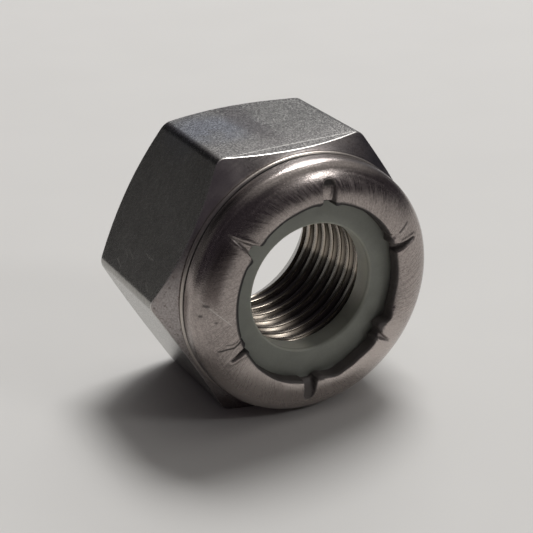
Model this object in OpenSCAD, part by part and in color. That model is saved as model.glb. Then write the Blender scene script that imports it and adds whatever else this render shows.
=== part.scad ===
// Lock nut with a nylon insert: a double chamfered hexagon, a turned collar whose lip is rolled
// in over the ring and staked at six places, and the nylon ring that grips the bolt.
// Millimetres. The nut lies on one flat at Z = 0, its bore runs along Y, the nylon end is at -Y.

/* [Hexagon] */
// Distance across the flats
across_flats = 17; // [16:0.1:19]
// Radius that the six ridges are rounded to
ridge_radius = 9.7; // [9.5:0.01:9.8]
// Diameter of the flat bearing ring
bearing_diameter = 16.8; // [15.3:0.1:16.9]
// Slope of the chamfer on the bearing side, in degrees
bearing_chamfer = 32; // [20:1:45]
// Height of the chamfer's inner rim above the bearing face
shoulder_height = 9.32; // [8.6:0.02:9.6]
// Slope of the chamfer on the collar side, in degrees
collar_chamfer = 36; // [20:1:45]

/* [Collar] */
// Height of the whole nut
nut_height = 12; // [11:0.1:13]
// Outer diameter of the collar
collar_diameter = 16.54; // [15.8:0.02:16.8]
// Radius of the bend where the collar starts to roll in
crown_radius = 1.15; // [0.8:0.05:2]
// Radius of the flatter face that follows the bend
face_radius = 3.1; // [2:0.1:5]
// Radius of the bead between the chamfer and the collar
bead_radius = 0.22; // [0.1:0.02:0.3]
// Width of the fine turned groove above the bead
groove_width = 0.14; // [0.08:0.02:0.3]
// Depth of the fine turned groove
groove_depth = 0.16; // [0.08:0.02:0.4]
// Diameter of the opening inside the rolled lip
lip_opening = 11.5; // [10.6:0.1:12.6]
// Thickness of the rolled lip
lip_thickness = 1; // [0.6:0.05:1.2]
// Drop of the lip from the crown to its inner edge
lip_drop = 0.05; // [0.02:0.01:0.3]
// Radius of the lip's inner edge
lip_edge = 0.2; // [0.1:0.05:0.4]

/* [Staking notches] */
// Angle of each notch around the bore, as they were struck
notch_angles = [18.5, 84.5, 139.5, 203, 263.5, 317.5];
// Width of each notch at the lip's inner edge
notch_widths = [0.62, 0.84, 0.72, 0.42, 0.86, 0.44];
// Width of each notch at its outer end
notch_outer_widths = [0.22, 0.94, 0.14, 0.14, 0.68, 0.16];
// Radius at which each notch runs out of the lip
notch_reaches = [7.25, 7.35, 7.6, 7.05, 7.05, 6.8];
// Depth of each notch at the lip's inner edge
notch_depths = [0.6, 0.45, 0.36, 0.62, 0.7, 0.4];
// Depth of each notch at its outer end, below the top of the nut
notch_end_depths = [0.5, 0.58, 0.56, 0.45, 0.32, 0.2];

/* [Bore] */
// Minor diameter of the thread, on which the bore is cut
thread_minor = 9.05; // [8.92:0.01:9.15]
// Diameter of the countersink at the bearing face
countersink_diameter = 11.4; // [10.4:0.1:12]
// Depth of the countersink at the bearing face
countersink_depth = 1.9; // [0.5:0.1:2.4]
// Depth of the small countersink under the nylon ring
inner_countersink = 0.5; // [0.2:0.1:0.8]

/* [Nylon ring] */
// Height of the pocket floor above the bearing face
pocket_floor = 9.35; // [9:0.05:9.8]
// Diameter of the pocket that holds the ring
pocket_diameter = 14.3; // [13.6:0.1:14.8]
// Inside radius of the lip's fold
fold_radius = 0.55; // [0.2:0.05:0.8]
// Diameter of the hole in the ring
nylon_hole = 8.3; // [8:0.05:8.9]
// Height of the ring's open face above the bearing face
nylon_face = 10.86; // [10.4:0.02:11]
// Small gap between the ring and the metal around it
ring_gap = 0.02; // [0.01:0.01:0.05]

/* [Hidden] */
$fn = 96;
hex_radius = across_flats / 2 / cos(30);
bearing_radius = bearing_diameter / 2;
collar_radius = collar_diameter / 2;
shoulder_radius = collar_radius + 0.05;
bearing_corner = (ridge_radius - bearing_radius) * tan(bearing_chamfer);
collar_corner = shoulder_height - (ridge_radius - shoulder_radius) * tan(collar_chamfer);
groove_height = shoulder_height + 2 * bead_radius;
collar_base = groove_height + groove_width;
crown_centre = collar_radius - crown_radius;
lip_radius = lip_opening / 2;
lip_underside = nut_height - lip_thickness;
lip_top = nut_height - lip_drop;
pocket_radius = pocket_diameter / 2;
face_centre = lip_radius + lip_edge;
face_base = nut_height - sqrt(pow(face_radius, 2) - 0.09);
crown_base = face_base + sqrt(pow(face_radius - crown_radius, 2) - pow(crown_centre - face_centre, 2));
face_end = face_centre + face_radius * (crown_centre - face_centre) / (face_radius - crown_radius);
face_start = face_centre + 0.3;
face_start_height = nut_height - 0.01;
ring_radius = pocket_radius - ring_gap;
ring_base = pocket_floor + ring_gap;
ring_top = lip_underside - ring_gap;
ring_fold = fold_radius + ring_gap;

// Lays the nut down: its axis goes from +Z to -Y and one flat rests on the floor.
module laid_down() {
    translate([0, nut_height / 2, across_flats / 2]) rotate([90, 0, 0]) children();
}

// The hexagon with its ridges rounded and both ends chamfered by turning.
module hexagon() {
    intersection() {
        cylinder(r = hex_radius, h = shoulder_height, $fn = 6);
        rotate_extrude() polygon([
            [0, 0], [bearing_radius, 0], [ridge_radius, bearing_corner], [ridge_radius, collar_corner],
            [shoulder_radius, shoulder_height], [0, shoulder_height]
        ]);
    }
}

// Outline of the bead, the fine groove and the rolled collar, seen in half section.
module collar_outline() {
    translate([0, shoulder_height - 0.2]) square([shoulder_radius - bead_radius, 2 * bead_radius + 0.2]);
    translate([shoulder_radius - bead_radius, shoulder_height + bead_radius]) circle(r = bead_radius, $fn = 20);
    translate([0, shoulder_height]) square([collar_radius - groove_depth, collar_base + 0.2 - shoulder_height]);
    translate([0, collar_base]) square([collar_radius, crown_base - collar_base]);
    translate([crown_centre, crown_base]) circle(r = crown_radius, $fn = 48);
    intersection() {
        translate([face_centre, face_base]) circle(r = face_radius, $fn = 96);
        translate([face_start, crown_base]) square([face_end - face_start, 3]);
    }
    polygon([
        [0, collar_base], [face_start, collar_base], [face_start, face_start_height],
        [lip_radius + lip_edge, lip_top], [0, lip_top]
    ]);
}

// Everything that is open above the pocket floor: the pocket, its rolled corner and the lip's mouth.
module pocket_outline() {
    translate([0, pocket_floor]) square([pocket_radius, lip_underside - fold_radius - pocket_floor]);
    translate([0, pocket_floor]) square([pocket_radius - fold_radius, lip_underside - pocket_floor]);
    translate([pocket_radius - fold_radius, lip_underside - fold_radius]) circle(r = fold_radius, $fn = 24);
    translate([0, lip_underside - 0.1]) square([lip_radius, lip_thickness + 1]);
    difference() {
        translate([0, lip_top - lip_edge]) square([lip_radius + lip_edge, lip_edge + 1]);
        translate([lip_radius + lip_edge, lip_top - lip_edge]) circle(r = lip_edge, $fn = 20);
    }
}

// One staking notch: a wedge seen from the front, with a floor that slopes from the lip's edge out.
module notch(i) {
    reach = notch_reaches[i];
    slope = atan((notch_depths[i] - notch_end_depths[i]) / (reach - lip_radius));
    translate([reach, 0, nut_height - notch_end_depths[i]]) rotate([0, -slope, 0])
        translate([-reach, 0, 0]) linear_extrude(height = 2) polygon([
            [0, -notch_widths[i] / 2], [lip_radius, -notch_widths[i] / 2], [reach, -notch_outer_widths[i] / 2],
            [reach, notch_outer_widths[i] / 2], [lip_radius, notch_widths[i] / 2], [0, notch_widths[i] / 2]
        ]);
}

module nut_body() {
    color("silver") laid_down() difference() {
        union() {
            hexagon();
            rotate_extrude() collar_outline();
        }
        rotate_extrude() pocket_outline();
        for (i = [0:5]) rotate([0, 0, notch_angles[i]]) notch(i);
        translate([0, 0, -1]) cylinder(d = thread_minor, h = nut_height);
        translate([0, 0, 0]) cylinder(d1 = countersink_diameter, d2 = thread_minor, h = countersink_depth);
        translate([0, 0, -1]) cylinder(d = countersink_diameter, h = 1);
        translate([0, 0, pocket_floor - inner_countersink])
            cylinder(d1 = thread_minor, d2 = thread_minor + 2 * inner_countersink, h = inner_countersink);
    }
}

// The ring fills the pocket and is squeezed by the lip, so its open face lies a little lower.
module nylon_ring() {
    color("darkseagreen") laid_down() rotate_extrude() difference() {
        union() {
            translate([0, ring_base]) square([ring_radius, ring_top - ring_fold - ring_base]);
            translate([0, ring_base]) square([ring_radius - ring_fold, ring_top - ring_base]);
            translate([ring_radius - ring_fold, ring_top - ring_fold]) circle(r = ring_fold, $fn = 32);
        }
        translate([-1, ring_base - 1]) square([nylon_hole / 2 + 1, 4]);
        polygon([
            [0, nylon_face], [lip_radius + 0.15, nylon_face], [lip_radius + 0.4, ring_top + 0.01], [0, ring_top + 0.01]
        ]);
    }
}

nut_body();
nylon_ring();
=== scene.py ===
import math
import bpy
import bmesh
from mathutils import Matrix, Vector, noise


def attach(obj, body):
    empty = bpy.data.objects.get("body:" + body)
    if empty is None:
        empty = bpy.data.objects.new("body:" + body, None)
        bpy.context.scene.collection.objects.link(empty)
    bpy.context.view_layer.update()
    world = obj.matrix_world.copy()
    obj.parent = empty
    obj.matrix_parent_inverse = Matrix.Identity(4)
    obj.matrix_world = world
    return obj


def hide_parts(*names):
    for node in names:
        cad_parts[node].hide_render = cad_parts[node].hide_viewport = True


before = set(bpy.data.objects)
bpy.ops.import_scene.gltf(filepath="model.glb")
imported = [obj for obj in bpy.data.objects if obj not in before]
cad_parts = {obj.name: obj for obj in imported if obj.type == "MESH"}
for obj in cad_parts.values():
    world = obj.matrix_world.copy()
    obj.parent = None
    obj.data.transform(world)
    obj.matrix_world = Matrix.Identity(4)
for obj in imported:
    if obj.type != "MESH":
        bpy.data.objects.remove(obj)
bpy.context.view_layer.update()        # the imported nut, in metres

mm = 0.001

# The nut is shaped standing on its bearing face, in millimetres, then laid on one flat.
nutSize = {
    "acrossFlats": 17.0,
    "ridgeRadius": 9.7,
    "height": 12.0,
}
layDown = Matrix((
    (mm, 0, 0, 0),
    (0, 0, -mm, nutSize["height"] / 2 * mm),
    (0, mm, 0, nutSize["acrossFlats"] / 2 * mm),
    (0, 0, 0, 1),
))


def smoothStep(low, high, x):
    t = min(max((x - low) / (high - low), 0), 1)
    return t * t * (3 - 2 * t)


def hump(x, width):
    return math.exp(-(x / width) ** 2)


def roundedLine(corners):
    # corners are (radius, height, fillet, steps)
    line = []
    for i, (r, h, fillet, steps) in enumerate(corners):
        here = Vector((r, h))
        if fillet == 0:
            line.append(here)
            continue
        before = (Vector(corners[i - 1][:2]) - here).normalized()
        after = (Vector(corners[i + 1][:2]) - here).normalized()
        half = before.angle(after) / 2
        centre = here + (before + after).normalized() * fillet / math.sin(half)
        first = here + before * fillet / math.tan(half) - centre
        last = here + after * fillet / math.tan(half) - centre
        start = math.atan2(first.y, first.x)
        sweep = (math.atan2(last.y, last.x) - start + math.pi) % (2 * math.pi) - math.pi
        for k in range(steps + 1):
            a = start + sweep * k / steps
            line.append(centre + Vector((math.cos(a), math.sin(a))) * fillet)
    return line


def closerPoints(line, above, gap):
    # adds points to the stretches of a line above a height
    dense = [line[0]]
    for b in line[1:]:
        a = dense[-1]
        if above < a.y and (b - a).length < gap * 0.3:
            continue
        parts = max(1, math.ceil((b - a).length / gap)) if min(a.y, b.y) > above else 1
        dense += [a.lerp(b, k / parts) for k in range(1, parts + 1)]
    return dense


def turnedSheet(rows, steps, sectors=24):
    # a flat disc of rows and steps, spun as one sector and copied round; row n lies at radius 10 + n
    bm = bmesh.new()
    line = [bm.verts.new((10 + n, 0, 0)) for n in range(rows)]
    edges = [bm.edges.new(pair) for pair in zip(line, line[1:])]
    bmesh.ops.spin(bm, geom=line + edges, cent=(0, 0, 0), axis=(0, 0, 1), dvec=(0, 0, 0),
                   angle=2 * math.pi / sectors, steps=steps // sectors, use_merge=False,
                   use_normal_flip=False, use_duplicate=False)
    sector = bm.verts[:] + bm.edges[:] + bm.faces[:]
    for k in range(1, sectors):
        copied = bmesh.ops.duplicate(bm, geom=sector)["geom"]
        bmesh.ops.rotate(bm, cent=(0, 0, 0), matrix=Matrix.Rotation(2 * math.pi * k / sectors, 3, "Z"),
                         verts=[v for v in copied if isinstance(v, bmesh.types.BMVert)])
    bmesh.ops.remove_doubles(bm, verts=bm.verts, dist=0.01)
    return bm


def rowOf(v):
    return round(math.hypot(v.co.x, v.co.y)) - 10


def shapeSheet(bm, steps, sectionAt):
    # moves each point of the disc to its place in the section for its angle
    sections = {}
    for v in bm.verts:
        column = round(math.degrees(math.atan2(v.co.y, v.co.x)) * steps / 360) % steps
        if column not in sections:
            sections[column] = sectionAt(column * 360 / steps)
        v.co = sections[column][rowOf(v)]


def faceOrder(f):
    # a number that is a face's own, so that faces lie in the same order each time the script runs
    points = sorted(v.index for v in f.verts)
    return (points[0] * 1e5 + points[1]) * 1e5 + points[-1]


def finishPiece(bm, name, materials, place=layDown):
    bm.verts.index_update()
    bm.faces.sort(key=faceOrder)
    bmesh.ops.transform(bm, matrix=place, verts=bm.verts)
    bmesh.ops.recalc_face_normals(bm, faces=bm.faces)
    mesh = bpy.data.meshes.new(name)
    bm.to_mesh(mesh)
    bm.free()
    for material in materials:
        mesh.materials.append(material)
    piece = bpy.data.objects.new(name, mesh)
    bpy.context.scene.collection.objects.link(piece)
    return piece


# Shared parts of the materials. A place is in millimetres, measured from the middle of the bore.
def linkOrSet(tree, socket, value):
    if isinstance(value, bpy.types.NodeSocket):
        tree.links.new(value, socket)
    else:
        socket.default_value = value


def addNode(tree, kind, inputs=None, **settings):
    node = tree.nodes.new("ShaderNode" + kind)
    for key, value in settings.items():
        setattr(node, key, value)
    for key, value in (inputs or {}).items():
        linkOrSet(tree, node.inputs[key], value)
    return node


def calc(tree, operation, a, b=0.0, clamp=False):
    return addNode(tree, "Math", {0: a, 1: b}, operation=operation, use_clamp=clamp).outputs[0]


def plus(tree, a, b):
    return calc(tree, "ADD", a, b)


def minus(tree, a, b):
    return calc(tree, "SUBTRACT", a, b)


def times(tree, a, b):
    return calc(tree, "MULTIPLY", a, b)


def larger(tree, a, b):
    return calc(tree, "MAXIMUM", a, b)


def vectorCalc(tree, operation, a, b=(0, 0, 0)):
    node = addNode(tree, "VectorMath", {0: a}, operation=operation)
    if operation == "SCALE":
        linkOrSet(tree, node.inputs["Scale"], b)
    elif operation not in ("LENGTH", "NORMALIZE"):
        linkOrSet(tree, node.inputs[1], b)
    return node.outputs["Value" if operation in ("LENGTH", "DOT_PRODUCT") else "Vector"]


def partsOf(tree, vector):
    return addNode(tree, "SeparateXYZ", {0: vector}).outputs


def ease(tree, value, low, high, toLow=0.0, toHigh=1.0):
    return addNode(tree, "MapRange", {"Value": value, "From Min": low, "From Max": high, "To Min": toLow,
                                      "To Max": toHigh}, interpolation_type="SMOOTHSTEP").outputs["Result"]


def blend(tree, factor, a, b, mode="MIX"):
    a, b = (v if isinstance(v, bpy.types.NodeSocket) else (*v, 1) for v in (a, b))
    return addNode(tree, "Mix", {"Factor": factor, "A": a, "B": b}, data_type="RGBA",
                   blend_type=mode).outputs["Result"]


def tinted(tree, colour, value, low, high):
    # multiplies a colour by a value spread between low and high
    shade = ease(tree, value, 0.3, 0.7, low, high)
    grey = addNode(tree, "CombineColor", {"Red": shade, "Green": shade, "Blue": shade}).outputs[0]
    return blend(tree, 1.0, colour, grey, "MULTIPLY")


def newGroup(name, takes, gives):
    tree = bpy.data.node_groups.new(name, "ShaderNodeTree")
    for label, kind in takes:
        tree.interface.new_socket(label, in_out="INPUT", socket_type="NodeSocket" + kind)
    for label, kind in gives:
        tree.interface.new_socket(label, in_out="OUTPUT", socket_type="NodeSocket" + kind)
    return tree, tree.nodes.new("NodeGroupInput").outputs, tree.nodes.new("NodeGroupOutput").inputs


def useGroup(tree, name, inputs):
    return addNode(tree, "Group", inputs, node_tree=bpy.data.node_groups[name]).outputs[0]


def roundBore(tree, place):
    # direction round the bore, radius and height of a place
    parts = partsOf(tree, place)
    flat = addNode(tree, "CombineXYZ", {"X": parts["X"], "Z": parts["Z"]}).outputs[0]
    return vectorCalc(tree, "NORMALIZE", flat), vectorCalc(tree, "LENGTH", flat), parts["Y"]


def makeGroups():
    # grain: even mottling of a given size in millimetres
    tree, take, give = newGroup("grain", [("Place", "Vector"), ("Size", "Float"), ("Detail", "Float")],
                                [("Value", "Float")])
    spot = vectorCalc(tree, "SCALE", take["Place"], calc(tree, "DIVIDE", 1.0, take["Size"]))
    mottle = addNode(tree, "TexNoise", {"Vector": spot, "Scale": 1.0, "Detail": take["Detail"],
                                        "Roughness": 0.6})
    tree.links.new(mottle.outputs["Fac"], give["Value"])

    # lines that run round the bore, as turning leaves them
    tree, take, give = newGroup("turnedLines", [("Place", "Vector"), ("Fineness", "Float")],
                                [("Value", "Float")])
    way, radius, height = roundBore(tree, take["Place"])
    wayParts = partsOf(tree, way)
    spot = addNode(tree, "CombineXYZ", {"X": times(tree, radius, take["Fineness"]),
                                        "Y": times(tree, height, take["Fineness"]),
                                        "Z": times(tree, wayParts["X"], 2.2)}).outputs[0]
    lines = addNode(tree, "TexNoise", {"Vector": spot, "W": times(tree, wayParts["Z"], 2.2), "Scale": 1.0,
                                       "Detail": 3.0}, noise_dimensions="4D")
    tree.links.new(lines.outputs["Fac"], give["Value"])

    # lines that run outward from the bore, as rolling leaves them
    tree, take, give = newGroup("radialLines", [("Place", "Vector"), ("Count", "Float"), ("Stretch", "Float"),
                                                ("Slant", "Float")], [("Value", "Float")])
    way, radius, height = roundBore(tree, take["Place"])
    way = addNode(tree, "VectorRotate", {"Vector": way, "Axis": (0, 1, 0), "Angle": times(
        tree, radius, take["Slant"])}, rotation_type="AXIS_ANGLE").outputs[0]
    wayParts = partsOf(tree, vectorCalc(tree, "SCALE", way, take["Count"]))
    spot = addNode(tree, "CombineXYZ", {"X": wayParts["X"], "Y": wayParts["Z"],
                                        "Z": times(tree, radius, take["Stretch"])}).outputs[0]
    lines = addNode(tree, "TexNoise", {"Vector": spot, "W": times(tree, height, take["Stretch"]),
                                       "Scale": 1.0, "Detail": 3.0}, noise_dimensions="4D")
    tree.links.new(lines.outputs["Fac"], give["Value"])

    # short fine scratches, all more or less along one direction
    tree, take, give = newGroup("scratches", [("Place", "Vector"), ("Turn", "Vector"), ("Width", "Float"),
                                              ("Share", "Float")], [("Mask", "Float")])
    lain = addNode(tree, "VectorRotate", {"Vector": take["Place"], "Rotation": take["Turn"]},
                   rotation_type="EULER_XYZ").outputs[0]
    bent = addNode(tree, "TexNoise", {"Vector": take["Place"], "Scale": 0.5, "Detail": 1.0}).outputs["Color"]
    lain = vectorCalc(tree, "ADD", lain, vectorCalc(tree, "SCALE", bent, 0.5))
    stretched = vectorCalc(tree, "MULTIPLY", lain, (5, 5, 0.3))
    cells = addNode(tree, "TexVoronoi", {"Vector": stretched, "Scale": 1.0})
    line = ease(tree, cells.outputs["Distance"], 0.0, times(tree, take["Width"], 5.0), 1.0, 0.0)
    gate = addNode(tree, "TexNoise", {"Vector": take["Place"], "Scale": 0.9, "Detail": 1.0}).outputs["Fac"]
    gate = ease(tree, gate, minus(tree, 0.75, take["Share"]), minus(tree, 0.83, take["Share"]))
    tree.links.new(times(tree, line, gate), give["Mask"])

    # one straight mark between two places
    tree, take, give = newGroup("lineMark", [("Place", "Vector"), ("From", "Vector"), ("To", "Vector"),
                                             ("Width", "Float")], [("Mask", "Float")])
    run = vectorCalc(tree, "SUBTRACT", take["To"], take["From"])
    offset = vectorCalc(tree, "SUBTRACT", take["Place"], take["From"])
    along = calc(tree, "DIVIDE", vectorCalc(tree, "DOT_PRODUCT", offset, run),
                 vectorCalc(tree, "DOT_PRODUCT", run, run), True)
    nearest = vectorCalc(tree, "SCALE", run, along)
    apart = vectorCalc(tree, "LENGTH", vectorCalc(tree, "SUBTRACT", offset, nearest))
    tree.links.new(ease(tree, apart, 0.0, take["Width"], 1.0, 0.0), give["Mask"])

    # worn edges with a painted highlight along them: the edge attribute, broken up
    tree, take, give = newGroup("edgeWearAndHighlight", [("Edge", "Float"), ("Place", "Vector"), ("Amount", "Float")],
                                [("Mask", "Float")])
    rough = addNode(tree, "TexNoise", {"Vector": take["Place"], "Scale": 2.2, "Detail": 4.0}).outputs["Fac"]
    kept = times(tree, take["Edge"], ease(tree, rough, 0.3, 0.62, 0.6, 1.0))
    tree.links.new(calc(tree, "MULTIPLY", kept, take["Amount"], True), give["Mask"])


def grain(tree, place, size, detail):
    return useGroup(tree, "grain", {"Place": place, "Size": size, "Detail": detail})


def scratched(tree, place, turn, width, share):
    return useGroup(tree, "scratches", {"Place": place, "Turn": turn, "Width": width, "Share": share})


def attribute(tree, name):
    return addNode(tree, "Attribute", attribute_name=name).outputs["Fac"]


def wornEdgesAndHighlight(tree, place, amount=1.0):
    return useGroup(tree, "edgeWearAndHighlight", {"Edge": attribute(tree, "edge"), "Place": place, "Amount": amount})


def marksOn(tree, place, marks, flatten=(1, 1, 1)):
    # masks of single marks, each a run of places with a width and a strength
    total = None
    place = vectorCalc(tree, "MULTIPLY", place, flatten)
    for width, strength, places in marks:
        places = [Vector(p) * Vector(flatten) for p in places]
        for start, end in zip(places, places[1:]):
            mask = useGroup(tree, "lineMark", {"Place": place, "From": start, "To": end, "Width": width})
            mask = times(tree, mask, strength)
            total = mask if total is None else larger(tree, total, mask)
    return total


def facing(tree, way, angle, reach, most):
    # mask of the side that lies at an angle round the bore, counted from the right as seen from the lip
    parts = partsOf(tree, way)
    a = math.radians(angle)
    near = plus(tree, times(tree, parts["X"], math.cos(a)), times(tree, parts["Z"], math.sin(a)))
    return ease(tree, near, *reach, 0.0, most)


def startMaterial(name):
    # returns the material's tree, its shader and a place
    material = bpy.data.materials.new(name)
    material.use_nodes = True
    tree = material.node_tree
    seen = addNode(tree, "TexCoord").outputs["Object"]
    place = addNode(tree, "Mapping", {"Vector": seen, "Location": (0, 0, -nutSize["acrossFlats"] / 2),
                                      "Scale": (1 / mm, 1 / mm, 1 / mm)}).outputs[0]
    return material, tree, tree.nodes["Principled BSDF"], place


def dressShader(tree, shader, colour, rough, height, depth):
    # depth is how deep the relief is, in millimetres
    tree.links.new(colour, shader.inputs["Base Color"])
    tree.links.new(rough, shader.inputs["Roughness"])
    bump = addNode(tree, "Bump", {"Height": height, "Distance": depth * mm, "Strength": 1.0})
    tree.links.new(bump.outputs["Normal"], shader.inputs["Normal"])


def shadedAndSoiled(tree, shader, shadeAndDirt, shadeAndDirtColour, colour, rough):
    # painted shade and dirt are dark and dull, and no metal
    tree.links.new(minus(tree, 1.0, shadeAndDirt), shader.inputs["Metallic"])
    return blend(tree, shadeAndDirt, colour, shadeAndDirtColour), plus(tree, rough, times(tree, shadeAndDirt, 0.3))


# The flats. Each scratch, and one painted highlight line among them, is a width, a strength and the places
# that it runs through.
flats = {
    "colour": (0.352, 0.345, 0.328),
    "bare": (0.64, 0.62, 0.59),        # scratches and worn edges, with painted highlights along the edges and in one line on the top flat
    # a painted blue-grey reflection on the top flat
    "paintedBlueReflection": {"middle": (-2.9, 2.6, 8.5), "reach": (1.0, 3.8), "colour": (0.35, 0.375, 0.44)},
    "darkBand": {"middle": 0.25, "reach": (0.25, 1.35), "colour": (0.215, 0.20, 0.20)},
    # the lighter front is partly burnish and partly a painted highlight where the flat rolls off
    "frontStrip": {"reach": (1.5, -2.2), "colour": (0.46, 0.44, 0.42)},
    "scratches": [
        (0.06, 0.9, [(-8.57, 0.47, 2.15), (-8.63, 0.07, 2.06), (-8.59, -0.59, 2.11)]),
        (0.055, 0.8, [(-8.84, 2.47, 1.7), (-8.99, 1.7, 1.43)]),
        (0.055, 0.7, [(-8.92, 2.9, 1.55), (-9.05, 2.33, 1.32)]),
        (0.06, 0.9, [(-9.32, 3.32, 0.85), (-9.45, 2.58, 0.63)]),
        (0.055, 0.7, [(-9.29, -0.83, 0.91), (-9.46, -1.46, 0.61)]),
        # this line along the top flat's front is a painted highlight where the flat starts to roll off
        (0.075, 0.9, [(-4.7, -2.3, 8.5), (0, -2.2, 8.5), (4.7, -2.25, 8.5)]),
    ],
}


def drawnSteel():
    # the flats: drawn bar, dull, grainy and lightly scuffed
    f = flats
    material, tree, shader, place = startMaterial("drawnSteel")
    fine = grain(tree, place, 0.095, 3.0)
    broad = grain(tree, place, 1.9, 2.0)
    drawn = grain(tree, vectorCalc(tree, "MULTIPLY", place, (0.25, 1, 0.25)), 0.12, 2.0)
    colour = tinted(tree, f["colour"], fine, 0.86, 1.14)
    colour = tinted(tree, colour, drawn, 0.90, 1.13)
    colour = tinted(tree, colour, broad, 0.93, 1.07)

    # the top flat's painted blue-grey reflection, dark band and lighter front
    parts = partsOf(tree, place)
    onTop = ease(tree, parts["Z"], 8.3, 8.45)
    # painted blue-grey reflection, broken up by the broad grain
    away = vectorCalc(tree, "LENGTH", vectorCalc(tree, "SUBTRACT", place, f["paintedBlueReflection"]["middle"]))
    blueReflection = ease(tree, away, *f["paintedBlueReflection"]["reach"], 0.7, 0.0)
    blueReflection = times(tree, blueReflection, ease(tree, broad, 0.25, 0.6, 0.4, 1.0))
    colour = blend(tree, blueReflection, colour, f["paintedBlueReflection"]["colour"])
    wavy = plus(tree, parts["X"], times(tree, broad, 1.4))
    away = calc(tree, "ABSOLUTE", minus(tree, wavy, f["darkBand"]["middle"]))
    band = times(tree, ease(tree, away, *f["darkBand"]["reach"], 0.75, 0.0), onTop)
    colour = blend(tree, band, colour, f["darkBand"]["colour"])
    # lighter front: partly burnish, partly a painted highlight where the flat rolls off towards its edge
    front = times(tree, ease(tree, parts["Y"], *f["frontStrip"]["reach"], 0.0, 0.7), onTop)
    colour = blend(tree, front, colour, f["frontStrip"]["colour"])

    scuffs = larger(tree, scratched(tree, place, (0.4, 0.3, 0), 0.03, 0.22),
                    scratched(tree, place, (1.4, 0.2, 0.5), 0.03, 0.2))
    scuffs = larger(tree, times(tree, scuffs, 0.6), marksOn(tree, place, f["scratches"]))
    # scuffs and worn edges, the edges partly a painted highlight
    colour = blend(tree, larger(tree, times(tree, scuffs, 0.8), wornEdgesAndHighlight(tree, place)), colour, f["bare"])
    rough = plus(tree, ease(tree, fine, 0.3, 0.7, 0.17, 0.31), times(tree, scuffs, 0.12))
    height = plus(tree, times(tree, fine, 0.7), times(tree, drawn, 0.5))
    height = minus(tree, height, times(tree, scuffs, 0.8))
    shader.inputs["Metallic"].default_value = 1
    dressShader(tree, shader, colour, rough, height, 0.0032)
    return material


turned = {
    "colour": (0.355, 0.325, 0.318),
    "specks": (0.10, 0.075, 0.065),
    "stains": (0.25, 0.19, 0.17),
    "bare": (0.70, 0.68, 0.65),
    # painted shade on the chamfer's right facet
    "paintedShadeFacet": {"across": (3.6, 5.6), "up": (3.0, 5.0), "colour": (0.13, 0.135, 0.16)},
    # painted light on the chamfer's upper left facet
    "paintedLightFacet": {"angle": 130, "reach": (0.94, 0.985), "colour": (0.62, 0.57, 0.56)},
    # the bead is painted lighter: a painted soft highlight
    "bead": (0.60, 0.55, 0.49),
    # colour of the painted shade under the lip and the darkening in the neck and groove
    "shadeAndDirt": (0.012, 0.010, 0.009),
}


def turnedSteel():
    # chamfers, shoulder, bead and bearing face: fine turning lines, small dark specks and stains
    t = turned
    material, tree, shader, place = startMaterial("turnedSteel")
    way, radius, height = roundBore(tree, place)
    lines = useGroup(tree, "turnedLines", {"Place": place, "Fineness": 7.0})
    fine = grain(tree, place, 0.11, 2.0)
    specks = ease(tree, grain(tree, place, 0.2, 1.0), 0.64, 0.72, 0.0, 0.55)
    stain = ease(tree, grain(tree, place, 1.3, 3.0), 0.45, 0.75, 0.0, 0.35)
    colour = tinted(tree, t["colour"], lines, 0.98, 1.02)
    colour = tinted(tree, colour, fine, 0.80, 1.20)
    colour = blend(tree, specks, colour, t["specks"])
    colour = blend(tree, stain, colour, t["stains"])
    # worn edges, partly a painted highlight
    colour = blend(tree, wornEdgesAndHighlight(tree, place), colour, t["bare"])

    # painted shade on one facet of the chamfer on the collar's side, painted light on another, and a painted
    # soft highlight on the bead
    parts = partsOf(tree, place)
    collarSide = ease(tree, height, 0.0, -1.0)
    shadedFacet = times(tree, ease(tree, parts["X"], *t["paintedShadeFacet"]["across"], 0.0, 0.6),
                 ease(tree, parts["Z"], *t["paintedShadeFacet"]["up"]))
    colour = blend(tree, times(tree, shadedFacet, collarSide), colour, t["paintedShadeFacet"]["colour"])
    light = facing(tree, way, t["paintedLightFacet"]["angle"], t["paintedLightFacet"]["reach"], 0.7)
    colour = blend(tree, times(tree, light, collarSide), colour, t["paintedLightFacet"]["colour"])
    low, high = (nutSize["height"] / 2 - h for h in body["bead"])
    bead = ease(tree, height, low + 0.01, low - 0.03, 0.0, 0.6)
    bead = times(tree, bead, ease(tree, height, high - 0.02, high + 0.01))
    colour = blend(tree, bead, colour, t["bead"])

    rough = plus(tree, ease(tree, lines, 0.3, 0.7, 0.27, 0.32), times(tree, stain, 0.2))
    # the body's attribute holds painted shade under the lip's edge and darkening in the neck and groove
    colour, rough = shadedAndSoiled(tree, shader, attribute(tree, "shadeAndDirt"), t["shadeAndDirt"], colour, rough)
    height = plus(tree, times(tree, lines, 0.06), times(tree, fine, 1.3))
    dressShader(tree, shader, colour, rough, height, 0.004)
    return material


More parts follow.
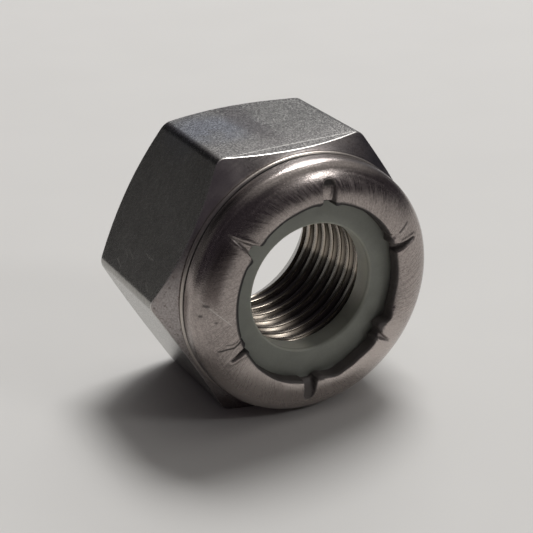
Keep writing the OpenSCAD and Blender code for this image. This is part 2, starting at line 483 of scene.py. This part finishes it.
rolled = {
    "colour": (0.36, 0.318, 0.30),
    "bare": (0.68, 0.65, 0.62),
    # the lower side is painted lighter: a painted reflection of the lit table
    "paintedFloorReflection": {"angle": 270, "reach": (0.25, 0.85), "colour": (0.58, 0.52, 0.49)},
    # a painted dark reflection on the left of the crown
    "paintedDarkSide": {"angle": 158, "reach": (0.95, 0.985), "colour": (0.13, 0.105, 0.10)},
    # colour of the pits, the painted shade along the lip's edge and in the notches, and the darkening on the
    # notches' floors
    "shadeAndDirt": (0.012, 0.010, 0.010),
    "scratches": [
        (0.05, 0.7, [(-7.9, -5.35, 1.35), (-7.56, -5.71, 0.91), (-6.14, -5.96, -0.52)]),
        (0.045, 0.5, [(5.49, -5.7, 5.27), (4.97, -5.97, 4.76)]),
        (0.045, 0.5, [(5.82, -5.66, 5.0), (5.2, -5.98, 4.38)]),
        (0.045, 0.4, [(6.25, -5.58, 4.61), (5.5, -5.98, 3.92)]),
        (0.04, 0.5, [(6.45, -5.91, 3.16), (6.05, -5.98, 2.93), (5.64, -5.95, 2.68)]),
    ],
    "pits": [
        (0.15, 0.6, [(-7.64, -5.6, 0.9), (-7.46, -5.8, 0.86)]),
        (0.15, 0.55, [(-7.88, -5.44, 0.22), (-7.83, -5.53, 0.23)]),
        (0.14, 0.55, [(-7.07, -5.93, -0.22), (-7.03, -5.95, -0.23)]),
        (0.10, 0.9, [(-5.42, -5.94, -1.65), (-5.64, -5.97, -1.85), (-5.98, -5.96, -2.1),
                     (-6.38, -5.97, -2.12), (-6.88, -5.9, -2.22)]),
        (0.08, 0.5, [(-5.76, -5.95, -1.75), (-6.1, -5.96, -1.86), (-6.45, -5.97, -1.83)]),
        (0.12, 0.7, [(6.2, -5.95, 3.36), (5.89, -5.98, 3.1), (5.62, -5.95, 2.88)]),
    ],
}


def rolledSteel():
    # collar and lip: turned outside, drawn inward by the rolling tool over the lip
    r = rolled
    material, tree, shader, place = startMaterial("rolledSteel")
    way, radius, height = roundBore(tree, place)
    overLip = ease(tree, radius, 6.9, 7.9, 1.0, 0.0)
    around = useGroup(tree, "turnedLines", {"Place": place, "Fineness": 6.0})
    around = ease(tree, around, 0.3, 0.7, 0.44, 0.56)
    coarse = useGroup(tree, "radialLines", {"Place": place, "Count": 40.0, "Stretch": 0.4, "Slant": 0.10})
    close = useGroup(tree, "radialLines", {"Place": place, "Count": 110.0, "Stretch": 0.9, "Slant": 0.06})
    outward = times(tree, plus(tree, coarse, close), 0.5)
    lines = addNode(tree, "Mix", {"Factor": overLip, "A": around, "B": outward}).outputs["Result"]
    broad = grain(tree, place, 1.1, 3.0)
    fine = grain(tree, place, 0.11, 2.0)
    colour = tinted(tree, r["colour"], lines, 0.80, 1.22)
    colour = tinted(tree, colour, fine, 0.80, 1.20)
    colour = tinted(tree, colour, broad, 0.94, 1.06)

    # marks are measured from the front, so their depth hardly counts
    pits = marksOn(tree, place, r["pits"], (1, 0.1, 1))
    light = marksOn(tree, place, r["scratches"], (1, 0.1, 1))
    light = larger(tree, light, times(tree, scratched(tree, place, (1.2, 0.5, 0.2), 0.028, 0.24), 0.4))
    colour = blend(tree, times(tree, light, 0.8), colour, r["bare"])
    # painted reflection of the lit table on the lower side
    lower = facing(tree, way, r["paintedFloorReflection"]["angle"], r["paintedFloorReflection"]["reach"], 0.8)
    colour = blend(tree, lower, colour, r["paintedFloorReflection"]["colour"])
    # painted dark reflection on the left of the crown, between two radii
    dark = facing(tree, way, r["paintedDarkSide"]["angle"], r["paintedDarkSide"]["reach"], 0.7)
    dark = times(tree, times(tree, dark, ease(tree, radius, 6.7, 7.2)), ease(tree, radius, 8.05, 7.6))
    colour = blend(tree, dark, colour, r["paintedDarkSide"]["colour"])

    rough = plus(tree, ease(tree, lines, 0.3, 0.7, 0.16, 0.32), times(tree, overLip, 0.05))
    # pits, and the body's attribute with painted shade along the lip's edge and in the notches and darkening
    # on the notches' floors
    shadeAndDirt = larger(tree, pits, attribute(tree, "shadeAndDirt"))
    colour, rough = shadedAndSoiled(tree, shader, shadeAndDirt, r["shadeAndDirt"], colour, rough)
    height = plus(tree, times(tree, lines, 0.32), times(tree, broad, 1.6))
    height = plus(tree, height, times(tree, fine, 1.5))
    height = minus(tree, height, plus(tree, times(tree, pits, 1.5), times(tree, light, 0.7)))
    dressShader(tree, shader, colour, rough, height, 0.004)
    return material


cut = {
    "colour": (0.35, 0.305, 0.255),
    # a painted dark reflection in the middle of the thread's right side
    "paintedDarkReflection": (0.055, 0.052, 0.045),
    "groove": (0.03, 0.026, 0.024),
}


def cutThread():
    # the thread: bright on the crests, dark in the grooves, with a painted dark reflection in the middle of
    # its right side
    material, tree, shader, place = startMaterial("cutThread")
    way, radius, height = roundBore(tree, place)
    parts = partsOf(tree, place)
    lines = useGroup(tree, "turnedLines", {"Place": place, "Fineness": 12.0})
    colour = tinted(tree, cut["colour"], lines, 0.88, 1.12)
    # painted dark reflection, set by height and by how far right
    level = plus(tree, parts["Z"], times(tree, height, 0.1))
    paintedDarkReflection = times(tree, ease(tree, level, -0.95, -1.35), ease(tree, parts["X"], 0.7, 1.5, 0.0, 0.78))
    colour = blend(tree, paintedDarkReflection, colour, cut["paintedDarkReflection"])
    groove = ease(tree, radius, thread["minorRadius"] + 0.03, thread["majorRadius"] - 0.12)
    bearingEnd = nutSize["height"] / 2
    groove = times(tree, groove, ease(tree, height, bearingEnd - 1.1, bearingEnd - 1.6))
    colour = blend(tree, groove, colour, cut["groove"])
    shader.inputs["Metallic"].default_value = 1
    dressShader(tree, shader, colour, ease(tree, lines, 0.3, 0.7, 0.2, 0.3), lines, 0.003)
    return material


nylon = {
    "colour": (0.262, 0.272, 0.236),
    # colour of the painted light on the wall of the hole
    "paintedLightOnBoreWall": (0.80, 0.80, 0.70),
    "glow": 0.35,                      # how far light goes in, and how deep in millimetres
    "glowDepth": 0.8,
}


def nylonPlastic():
    # even and slightly cloudy, with light painted on the upper and left parts of the wall of its hole
    material, tree, shader, place = startMaterial("nylon")
    way, radius, height = roundBore(tree, place)
    parts = partsOf(tree, place)
    fine = grain(tree, place, 0.2, 3.0)
    colour = tinted(tree, nylon["colour"], grain(tree, place, 2.2, 2.0), 0.93, 1.07)
    # painted light on the upper and left parts of the hole's wall
    wall = times(tree, ease(tree, radius, 4.32, 4.2), ease(tree, height, -4.5, -4.7, 0.75, 0.35))
    lit = larger(tree, ease(tree, parts["Z"], -2.8, -1.2), ease(tree, parts["X"], 0.6, -0.8))
    colour = blend(tree, times(tree, wall, lit), colour, nylon["paintedLightOnBoreWall"])
    colour = tinted(tree, colour, fine, 0.97, 1.03)
    shader.inputs["Subsurface Weight"].default_value = nylon["glow"]
    shader.inputs["Subsurface Radius"].default_value = (1.0, 1.0, 0.8)
    shader.inputs["Subsurface Scale"].default_value = nylon["glowDepth"] * mm
    dressShader(tree, shader, colour, ease(tree, fine, 0.3, 0.7, 0.38, 0.5), fine, 0.005)
    return material


# The nut's body. Heights are from the bearing face, and the shoulder is a radius and a height.
body = {
    "steps": 720,
    "bearingRadius": 8.4,
    "bearingChamfer": 32,
    "shoulder": (8.32, 9.32),
    "collarChamfer": 36,
    "edgeRound": 0.14,
    "ridgeCrowding": 0.62,       # how much closer the points lie at a ridge
    "ridgeReach": 8.0,           # degrees to each side of a ridge that are crowded
    "neckRadius": 8.17,
    "beadRadius": 8.36,
    "bead": (9.43, 9.74),
    "grooveRadius": 8.10,
    "groove": (9.75, 9.90),
    "collarRadius": 8.27,
    "collarRoll": 1.15,          # radius of the collar's turn into the crown
    "crownRadius": 6.983,
    "crownRoll": 3.05,           # radius of the crown's turn into the lip
    "lipRadius": 5.75,
    "lipTop": 11.98,
    "lipUnderside": 11.0,
    "pocketRadius": 7.15,
    "pocketFloor": 9.35,
}
# Radius of the lip's edge by angle, and how far the edge is curled down: rolling left both uneven.
lipWave = [
    (-180, 5.60), (-165, 5.61), (-150, 5.68), (-135, 5.74), (-120, 5.80), (-108, 5.84), (-97, 5.80),
    (-86, 5.82), (-78, 5.97), (-70, 5.88), (-60, 5.80), (-50, 5.84), (-42, 5.74), (-35, 5.66), (-29, 5.82),
    (-23, 5.66), (-14, 5.60), (10, 5.58), (18, 5.60), (28, 5.60), (45, 5.62), (60, 5.66), (76, 5.72),
    (95, 5.79), (110, 5.75), (128, 5.72), (150, 5.66), (165, 5.62), (180, 5.60),
]
lipCurl = [
    (-180, 0), (-120, 0), (-112, 0.10), (-100, 0.05), (-88, 0.12), (-80, 0.02), (-46, 0.02), (-37, 0.12),
    (-29, 0.03), (-21, 0.30), (-13, 0.32), (3, 0.34), (11, 0.32), (16, 0.28), (22, 0.42), (26, 0.36),
    (31, 0.14), (45, 0.05), (90, 0.02), (180, 0),
]
# The six staking notches, each as it was struck. Lengths in millimetres; across runs with the angle.
# Tabs of pushed metal are (across, width, inward, up). A pair gives how dark the notch's floor and its outer
# end are painted; at the outer end this is a painted shadow.
notches = [
    {"angle": 18.3, "width": 0.56, "outerWidth": 0.14, "reach": 7.1, "depth": 0.55, "endDepth": 0.12,
     "corner": 0.06, "wall": 0.11, "back": 0.12, "backWidth": 0.6, "lean": 0.03, "burr": 0.03,
     "darkening": (0.55, 0), "tabs": [(0.58, 0.20, 0.12, 0.05), (1.0, 0.2, -0.08, -0.05)]},
    {"angle": 84.5, "width": 0.84, "outerWidth": 0.96, "reach": 7.19, "depth": 0.40, "endDepth": 0.30,
     "corner": 0.36, "wall": 0.08, "back": 0.14, "backWidth": 0.9, "lean": 0.02, "burr": 0.0,
     "darkening": (0, 0.9), "tabs": [(-0.62, 0.22, 0.08, 0.01), (0.62, 0.18, 0.04, 0.01)]},
    {"angle": 139.3, "width": 0.72, "outerWidth": 0.06, "reach": 7.75, "depth": 0.30, "endDepth": 0.05,
     "corner": 0.02, "wall": 0.12, "back": 0.34, "backWidth": 0.9, "lean": 0.03, "burr": 0.02,
     "darkening": (0.1, 0), "tabs": [(-0.72, 0.26, 0.06, 0.02), (0.66, 0.22, 0.10, 0.02)]},
    {"angle": 204.2, "width": 0.40, "outerWidth": 0.08, "reach": 6.82, "depth": 0.60, "endDepth": 0.16,
     "corner": 0.02, "wall": 0.08, "back": 0.05, "backWidth": 0.3, "lean": 0.22, "burr": 0.03,
     "darkening": (0.6, 0),
     "tabs": [(-0.36, 0.16, 0.05, 0.04), (0.36, 0.15, 0.07, 0.04), (-0.8, 0.1, -0.05, -0.06)]},
    {"angle": 263.5, "width": 1.0, "outerWidth": 0.72, "reach": 7.1, "depth": 0.62, "endDepth": 0.10,
     "corner": 0.3, "wall": 0.11, "back": 0.16, "backWidth": 0.9, "lean": 0.03, "burr": 0.0,
     "darkening": (0.8, 0), "tabs": [(0.80, 0.26, 0.14, 0.01), (-1.05, 0.42, 0.05, -0.02)]},
    {"angle": 317.8, "width": 0.40, "outerWidth": 0.12, "reach": 6.7, "depth": 0.26, "endDepth": 0.05,
     "corner": 0.05, "wall": 0.11, "back": 0.04, "backWidth": 0.5, "lean": 0.06, "burr": 0.03,
     "darkening": (0.1, 0), "tabs": [(0.52, 0.30, 0.34, 0.02), (-0.34, 0.16, 0.12, 0.0)]},
]


def atAngle(table, angle):
    a = (angle + 180) % 360 - 180
    for (a0, v0), (a1, v1) in zip(table, table[1:]):
        if a <= a1:
            return v0 + (v1 - v0) * smoothStep(a0, a1, a)
    return table[0][1]


def degreesFrom(angle, middle):
    return (angle - middle + 180) % 360 - 180


def hexagonRadius(angle):
    # the hexagon, with its ridges rounded
    flat = nutSize["acrossFlats"] / 2
    toRidge = math.radians(abs((angle + 30) % 60 - 30))
    slant = math.cos(math.radians(30))
    centre = (nutSize["ridgeRadius"] - flat) / (1 - slant)
    fillet = nutSize["ridgeRadius"] - centre
    onFlat = flat / math.cos(math.radians(30) - toRidge)
    if centre * math.sin(toRidge) < fillet * 0.5 * math.cos(toRidge):
        reach = fillet ** 2 - (centre * math.sin(toRidge)) ** 2
        return min(centre * math.cos(toRidge) + math.sqrt(max(reach, 0)), onFlat)
    return onFlat


def chamferHeights(out):
    # heights at which the two chamfers meet the hexagon where it has this radius
    b = body
    low = (out - b["bearingRadius"]) * math.tan(math.radians(b["bearingChamfer"]))
    high = b["shoulder"][1] - (out - b["shoulder"][0]) * math.tan(math.radians(b["collarChamfer"]))
    return low, high


def crowded(angle):
    # moves the points of the hexagon towards its ridges, where it turns sharply
    toRidge = (angle + 30) % 60 - 30
    reach = body["ridgeReach"]
    if abs(toRidge) >= reach:
        return angle
    return angle - body["ridgeCrowding"] * reach / math.pi * math.sin(math.pi * toRidge / reach)


def notchInside(n, u, r, edge):
    # how far inside a notch's outline a place is, at u across and radius r, and how far along the notch
    along = min(max((r - edge) / (n["reach"] - edge), 0), 1)
    half = (n["width"] + (n["outerWidth"] - n["width"]) * along) / 2
    corner = min(n["corner"], half * 0.9)
    qx, qy = abs(u) - half + corner, (r - n["reach"] + corner) * 0.75
    return corner - math.hypot(max(qx, 0), max(qy, 0)) - min(max(qx, qy), 0), along


def notchPress(n, u, r, edge):
    # how far a notch presses the lip down
    inside, along = notchInside(n, u, r, edge)
    depth = n["depth"] + (n["endDepth"] - n["depth"]) * along
    burr = n["burr"] * hump(inside + 0.13, 0.10) * (1 if inside < 0.05 else 0)
    return smoothStep(-0.02, n["wall"], inside) * depth - burr


def workedLip(r, h, angle, inner):
    # the lip's real shape: its uneven edge, the notches and the metal they pushed aside
    b = body
    if h < b["lipUnderside"] - 0.4 or (h < b["lipUnderside"] and r > b["pocketRadius"] + 0.5):
        return r, h
    edge = atAngle(lipWave, angle)
    r += (edge - b["lipRadius"]) * (1 - smoothStep(5.9, 7.0, r))
    share = 1
    if inner:
        share = min(max((h - b["lipUnderside"]) / (b["lipTop"] - 0.02 - b["lipUnderside"]), 0), 1)
    around = Vector((math.cos(math.radians(angle)) * 5, math.sin(math.radians(angle)) * 5, r * 0.8))
    lower = noise.noise(around) * 0.02 * (1 - smoothStep(6.4, 7.8, r)) + 0.02
    toEdge = min(max(1 - (r - edge) / 0.85, 0), 1)
    lower += atAngle(lipCurl, angle) * (1 - math.sqrt(1 - 0.98 * toEdge ** 2)) / 0.86
    before = r
    for n in notches:
        apart = degreesFrom(angle, n["angle"])
        if abs(apart) > 30:
            continue
        u = math.radians(apart) * before - n["lean"] * (before - edge)
        lower += notchPress(n, u, before, edge)
        v = max(before - edge, 0)
        r += n["back"] * smoothStep(-0.1, 0.2, n["backWidth"] / 2 - abs(u)) * hump(v, 0.45)
        for across, width, inward, up in n["tabs"]:
            r -= inward * hump(u - across, width) * hump(v, 0.32)
            lower -= up * hump(u - across, width) * hump(v - 0.15, 0.3)
    return r, min(h - lower * share, nutSize["height"] - 0.004)


def bodySection(angle):
    b = body
    turn = crowded(angle)
    out = hexagonRadius(turn)
    low, high = chamferHeights(out)
    neck, groove, collar = b["neckRadius"], b["grooveRadius"], b["collarRadius"]
    line = roundedLine([
        (thread["countersinkRadius"] + 0.03, 0, 0, 0),
        (b["bearingRadius"], 0, 0.08, 3),
        (out, low, b["edgeRound"], 5),
        (out, high, b["edgeRound"], 5),
        (*b["shoulder"], 0.03, 2),
        (neck, b["shoulder"][1] + 0.02, 0.015, 1),
        (neck, b["bead"][0], 0.02, 1),
        (b["beadRadius"], b["bead"][0], 0.15, 5),
        (b["beadRadius"], b["bead"][1], 0.15, 5),
        (groove, b["groove"][0], 0.015, 1),
        (groove, b["groove"][1], 0.015, 1),
        (collar, b["groove"][1] + 0.005, 0.03, 3),
        (collar, b["groove"][1] + 0.045, 0, 0),       # the groove's darkening ends between these two
        (collar, b["groove"][1] + 0.065, 0, 0),
        (collar, 11.035, b["collarRoll"], 13),
        (b["crownRadius"], nutSize["height"], b["crownRoll"], 24),
        (b["lipRadius"], b["lipTop"], 0.18, 6),
        (b["lipRadius"], b["lipUnderside"], 0.06, 2),
        (b["pocketRadius"], b["lipUnderside"], 0.5, 6),
        (b["pocketRadius"], b["pocketFloor"], 0.06, 2),
        (thread["minorRadius"] + thread["innerCountersink"] + 0.03, b["pocketFloor"], 0, 0),
    ])
    places = []
    inner = False
    for r, h in closerPoints(line, 11.02, 0.096):
        inner = inner or (r < b["lipRadius"] + 0.19 and h > 11.5)
        onHexagon = 0.01 < h < b["shoulder"][1] - 0.01 and r > b["bearingRadius"] + 0.05
        a = math.radians(turn if onHexagon else angle)
        r, h = workedLip(r, h, angle, inner)
        places.append(Vector((math.cos(a) * r, math.sin(a) * r, h)))
    return places


def wearAndHighlightAt(r, h, angle):
    # how worn the edge between the hexagon and a chamfer is here, and how strongly its painted highlight
    # shows
    b = body
    if not 0.01 < h < b["shoulder"][1] or r <= b["bearingRadius"] + 0.02:
        return 0
    out = hexagonRadius(angle)
    apart = math.hypot(r - out, min(abs(h - edge) for edge in chamferHeights(out)))
    return min(max(1 - (apart - 0.02) / 0.04, 0), 1)


def shadeAndDirtAt(r, h, angle):
    # how dark the groove, the lip's edge and the notches are painted: painted shade under the lip's edge and
    # on the notches' walls, a painted shadow at a notch's outer end, and darkening in the neck, the groove
    # and on the notches' floors
    b = body
    if r < b["bearingRadius"] and b["shoulder"][1] - 0.02 < h < b["groove"][1] + 0.06:
        return 1 if h > b["groove"][1] - 0.05 else 1 - smoothStep(8.19, 8.27, r)
    if h <= b["lipUnderside"] - 0.02 or r >= 7.9:
        return 0
    # painted shade along the lip's edge, narrower and lighter towards the lower right and lighter where the
    # lip curls
    lip = atAngle(lipWave, angle)
    curl = min(atAngle(lipCurl, angle) / 0.3, 1)
    lowerRight = 0.5 + 0.5 * math.cos(math.radians(angle + 40))
    reach = 0.25 - 0.11 * lowerRight
    shadeAndDirt = (1 - 0.16 * lowerRight - 0.12 * curl) * (1 - smoothStep(lip + reach - 0.06, lip + reach, r))
    for n in notches:
        u = math.radians(degreesFrom(angle, n["angle"])) * r - n["lean"] * (r - lip)
        if abs(u) > 1.5:
            continue
        inside = notchInside(n, u, r, lip)[0]
        # darkening on the notch's floor, a painted shadow at its outer end and painted shade on its walls
        onFloor = n["darkening"][0] * smoothStep(0, 0.1, inside)
        nearEnd = smoothStep(n["reach"] - 0.42, n["reach"] - 0.26, r)
        atEnd = n["darkening"][1] * smoothStep(-0.02, 0.05, inside) * nearEnd
        onWall = 0.95 * hump(inside - n["wall"] * 0.45, n["wall"] * 0.6) * min(n["depth"] * 2, 1)
        shadeAndDirt = max(shadeAndDirt, onFloor, atEnd, onWall)
    return shadeAndDirt


# The thread of the bore and its two countersinks.
thread = {
    "minorRadius": 4.525,
    "majorRadius": 4.97,
    "crest": 0.44,
    "pitch": 1.0,
    "turns": 12,
    "start": -1.59,              # how far below the bearing face the first turn begins
    "stepsPerTurn": 120,
    "countersinkRadius": 5.7,
    "countersinkDepth": 1.9,
    "innerCountersink": 0.5,
}


def threadLine():
    t = thread
    minor, major, pitch, crest = t["minorRadius"], t["majorRadius"], t["pitch"], t["crest"]
    flank = (major - minor) * math.tan(math.radians(30))
    return roundedLine([
        (minor, 0, 0, 0),
        (minor, crest, 0.12, 4),
        (major, crest + flank, 0.03, 2),
        (major, pitch - flank, 0.03, 2),
        (minor, pitch, 0, 0),
    ])


def boreRadius(height):
    # least radius of the bore at a height, set by its two countersinks
    t = thread
    slope = (t["countersinkRadius"] - t["minorRadius"]) / t["countersinkDepth"]
    lower = t["countersinkRadius"] - height * slope
    upper = t["minorRadius"] + height - (body["pocketFloor"] - t["innerCountersink"])
    return max(lower, upper, 0)


def makeThread():
    t = thread
    bm = bmesh.new()
    line = [bm.verts.new((p.x, 0, p.y + t["start"])) for p in threadLine()]
    edges = [bm.edges.new(pair) for pair in zip(line, line[1:])]
    bmesh.ops.spin(bm, geom=line + edges, cent=(0, 0, 0), axis=(0, 0, 1),
                   dvec=(0, 0, t["pitch"] / t["stepsPerTurn"]), angle=2 * math.pi, steps=t["stepsPerTurn"],
                   use_merge=False, use_normal_flip=False, use_duplicate=False)
    turn = bm.verts[:] + bm.edges[:] + bm.faces[:]
    for k in range(1, t["turns"]):
        copied = bmesh.ops.duplicate(bm, geom=turn)["geom"]
        bmesh.ops.translate(bm, vec=(0, 0, k * t["pitch"]),
                            verts=[v for v in copied if isinstance(v, bmesh.types.BMVert)])
    bmesh.ops.remove_doubles(bm, verts=bm.verts, dist=0.0005)
    for v in bm.verts:
        r = math.hypot(v.co.x, v.co.y)
        wide = max(r, boreRadius(v.co.z)) / r
        v.co.x *= wide
        v.co.y *= wide
    for height, outward in ((0, -1), (body["pocketFloor"], 1)):
        bmesh.ops.bisect_plane(bm, geom=bm.verts[:] + bm.edges[:] + bm.faces[:], dist=0.0001,
                               plane_co=(0, 0, height), plane_no=(0, 0, outward), clear_outer=True,
                               clear_inner=False)
    for f in bm.faces:
        f.material_index = finishNumber["thread"]
    mesh = bpy.data.meshes.new("threadTurns")
    bm.to_mesh(mesh)
    bm.free()
    return mesh


def rims(bm, height):
    return [e for e in bm.edges if e.is_boundary and all(abs(v.co.z - height) < 0.0005 for v in e.verts)]


finishNumber = {"flats": 0, "turned": 1, "rolled": 2, "thread": 3}


def finishOf(r, h):
    # which finish a stretch of the section has
    b = body
    inPocket = r < b["pocketRadius"] + 0.01 and h < b["lipUnderside"] + 0.02
    if h > b["groove"][1] - 0.03 and not inPocket:
        return finishNumber["rolled"]
    if r > b["bearingRadius"] and 0.2 < h < b["shoulder"][1] - 0.15:
        return finishNumber["flats"]
    return finishNumber["turned"]


def makeBody():
    b = body
    start = [Vector((math.hypot(p.x, p.y), p.z)) for p in bodySection(30)]
    bm = turnedSheet(len(start), b["steps"])
    print("turned blank", len(start), "rows", len(bm.verts), "points")
    for f in bm.faces:
        row = min(rowOf(v) for v in f.verts)
        f.material_index = finishOf(*((start[row] + start[row + 1]) / 2))
    shapeSheet(bm, b["steps"], bodySection)
    edgeLayer, shadeAndDirtLayer = (bm.verts.layers.float.new(k) for k in ("edge", "shadeAndDirt"))
    for v in bm.verts:
        where = math.hypot(v.co.x, v.co.y), v.co.z, math.degrees(math.atan2(v.co.y, v.co.x))
        v[edgeLayer], v[shadeAndDirtLayer] = wearAndHighlightAt(*where), shadeAndDirtAt(*where)
    turns = makeThread()
    bm.from_mesh(turns)
    bpy.data.meshes.remove(turns)
    for height in (0, b["pocketFloor"]):
        joined = bmesh.ops.triangle_fill(bm, edges=rims(bm, height), use_beauty=True, normal=(0, 0, 1))
        for f in joined["geom"]:
            if isinstance(f, bmesh.types.BMFace):
                f.material_index = finishNumber["turned"]
    print("open edges", sum(e.is_boundary for e in bm.edges))
    print("nut body", sum(len(f.verts) - 2 for f in bm.faces), "triangles")
    for f in bm.faces:
        f.smooth = True
    piece = finishPiece(bm, "nutBody", [drawnSteel(), turnedSteel(), rolledSteel(), cutThread()])
    piece.modifiers.new("evenNormals", "WEIGHTED_NORMAL").keep_sharp = False
    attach(piece, "root")
    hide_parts("nut_body")
    return piece


# The nylon ring, held under the lip.
ring = {
    "steps": 360,
    "radius": 7.13,
    "hole": 4.15,
    "base": 9.37,
    "face": 10.86,
    "top": 10.98,
}


def ringSection(angle):
    r = ring
    line = roundedLine([
        (r["hole"], 10.0, 0, 0),
        (r["hole"], r["face"], 0.22, 8),
        (5.9, r["face"], 0.1, 2),
        (6.15, r["top"], 0.1, 2),
        (r["radius"], r["top"], 0.55, 6),
        (r["radius"], r["base"], 0.05, 2),
        (r["hole"], r["base"], 0.1, 3),
        (r["hole"], 10.0, 0, 0),
    ])
    a = math.radians(angle)
    return [Vector((math.cos(a) * p.x, math.sin(a) * p.x, p.y)) for p in line]


def makeRing():
    bm = turnedSheet(len(ringSection(0)), ring["steps"])
    shapeSheet(bm, ring["steps"], ringSection)
    bmesh.ops.remove_doubles(bm, verts=bm.verts, dist=0.0005)
    print("nylon ring", len(bm.verts), "points")
    for f in bm.faces:
        f.smooth = True
    piece = finishPiece(bm, "nylonRing", [nylonPlastic()])
    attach(piece, "root")
    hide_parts("nylon_ring")
    return piece


# The pale table and the studio round it.
stage = {
    "floorSize": 2.0,
    "floorColour": (0.61, 0.598, 0.578),
    "farColour": (0.10, 0.095, 0.10),
    "litReach": (0.08, 0.15),    # metres from the nut
}


def paleTable():
    # pale everywhere for the camera; in reflections the lit part of the table ends a little way off, and a
    # painted shadow darkens it in front towards the camera
    s = stage
    material, tree, shader, place = startMaterial("paleTable")
    near = tinted(tree, s["floorColour"], grain(tree, place, 14.0, 2.0), 0.992, 1.008)
    fade = ease(tree, vectorCalc(tree, "LENGTH", place), s["litReach"][0] / mm, s["litReach"][1] / mm)
    parts = partsOf(tree, place)
    # painted shadow on the table in front, towards the camera, seen only in reflections
    front = times(tree, ease(tree, parts["Y"], -24.0, -62.0), ease(tree, parts["X"], 8.0, -12.0, 0.0, 0.78))
    fade = larger(tree, fade, front)
    seen = addNode(tree, "LightPath").outputs["Is Camera Ray"]
    colour = blend(tree, calc(tree, "SUBTRACT", fade, seen, True), near, s["farColour"])
    tree.links.new(colour, shader.inputs["Base Color"])
    shader.inputs["Roughness"].default_value = 0.8
    return material


def makeFloor():
    bm = bmesh.new()
    bmesh.ops.create_grid(bm, x_segments=1, y_segments=1, size=stage["floorSize"] / 2)
    floor = finishPiece(bm, "floor", [paleTable()], Matrix())


# Directions are degrees round from straight behind the nut towards its right, and degrees up.
lamps = {
    "keyLamp": {"round": 47, "up": 61.5, "distance": 0.9, "wide": 0.43, "tall": 0.28, "power": 5.9},
    "backPanel": {"round": 39, "up": 40, "distance": 0.9, "wide": 0.44, "tall": 0.32, "power": 1.15},
    "frontLamp": {"round": 144, "up": 34, "distance": 0.9, "wide": 0.20, "tall": 0.07, "power": 0.66},
}
world = {
    "backdrop": (0.70, 0.69, 0.67),
    "dim": (0.042, 0.036, 0.044),
    "glows": [
        {"round": -40, "up": 5, "spread": 0.22, "colour": (0.098, 0.095, 0.094)},
        {"round": 44, "up": 7, "spread": 0.16, "colour": (0.19, 0.19, 0.20)},
        {"round": 148, "up": 42, "spread": 0.09, "colour": (0.28, 0.27, 0.26)},
        {"round": 38, "up": 46, "spread": 0.16, "colour": (0.30, 0.30, 0.32)},
        {"round": 68, "up": 66, "spread": 0.44, "colour": (0.52, 0.51, 0.49)},
        {"round": -22, "up": 25, "spread": 0.08, "colour": (0.012, 0.012, 0.013)},
    ],
}


def towards(light):
    a, e = math.radians(light["round"]), math.radians(light["up"])
    return Vector((math.sin(a) * math.cos(e), math.cos(a) * math.cos(e), math.sin(e)))


def makeLamps():
    for name, lamp in lamps.items():
        light = bpy.data.lights.new(name, "AREA")
        light.shape = "ELLIPSE"
        light.size, light.size_y = lamp["wide"], lamp["tall"]
        light.energy = lamp["power"]
        lampObject = bpy.data.objects.new(name, light)
        bpy.context.scene.collection.objects.link(lampObject)
        lampObject.location = towards(lamp) * lamp["distance"] + Vector((0, 0, 0.008))
        lampObject.rotation_mode = "QUATERNION"
        lampObject.rotation_quaternion = (-towards(lamp)).to_track_quat("-Z", "Y")
    print("lamps", len(lamps))


def makeWorld():
    # a dim room with a few soft glows, and a pale backdrop that only the camera sees
    studio = bpy.data.worlds.new("studio")
    bpy.context.scene.world = studio
    studio.use_nodes = True
    tree = studio.node_tree
    around = addNode(tree, "TexCoord").outputs["Generated"]
    colour = world["dim"]
    for glow in world["glows"]:
        near = vectorCalc(tree, "DOT_PRODUCT", around, towards(glow))
        colour = blend(tree, ease(tree, near, 1 - glow["spread"], 1.0), colour, glow["colour"])
    seen = addNode(tree, "LightPath").outputs["Is Camera Ray"]
    tree.links.new(blend(tree, seen, colour, world["backdrop"]), tree.nodes["Background"].inputs["Color"])
    print("world", len(world["glows"]), "glows")


# The photograph's view: angles in degrees, the lens in millimetres and the eye's place in metres.
photoView = {
    "azimuth": -28.466,
    "elevation": 25.015,
    "roll": -0.589,
    "lens": 101.31,
    "eye": (-0.04178, -0.07609, 0.04849),
}


def makeCamera():
    v = photoView
    a, e, roll = (math.radians(v[k]) for k in ("azimuth", "elevation", "roll"))
    back = Vector((math.sin(a) * math.cos(e), -math.cos(a) * math.cos(e), math.sin(e)))
    flatRight = Vector((math.cos(a), math.sin(a), 0))
    flatUp = back.cross(flatRight)
    right = flatRight * math.cos(roll) + flatUp * math.sin(roll)
    up = flatUp * math.cos(roll) - flatRight * math.sin(roll)
    camera = bpy.data.objects.new("camera", bpy.data.cameras.new("camera"))
    camera.data.lens = v["lens"]
    camera.data.clip_start = 0.005
    camera.matrix_world = Matrix((right, up, back)).transposed().to_4x4()
    camera.location = v["eye"]
    bpy.context.scene.collection.objects.link(camera)
    bpy.context.scene.camera = camera


makeGroups()
makeBody()
makeRing()
makeFloor()
makeLamps()
makeWorld()
makeCamera()
bpy.context.scene.view_settings.view_transform = "Standard"
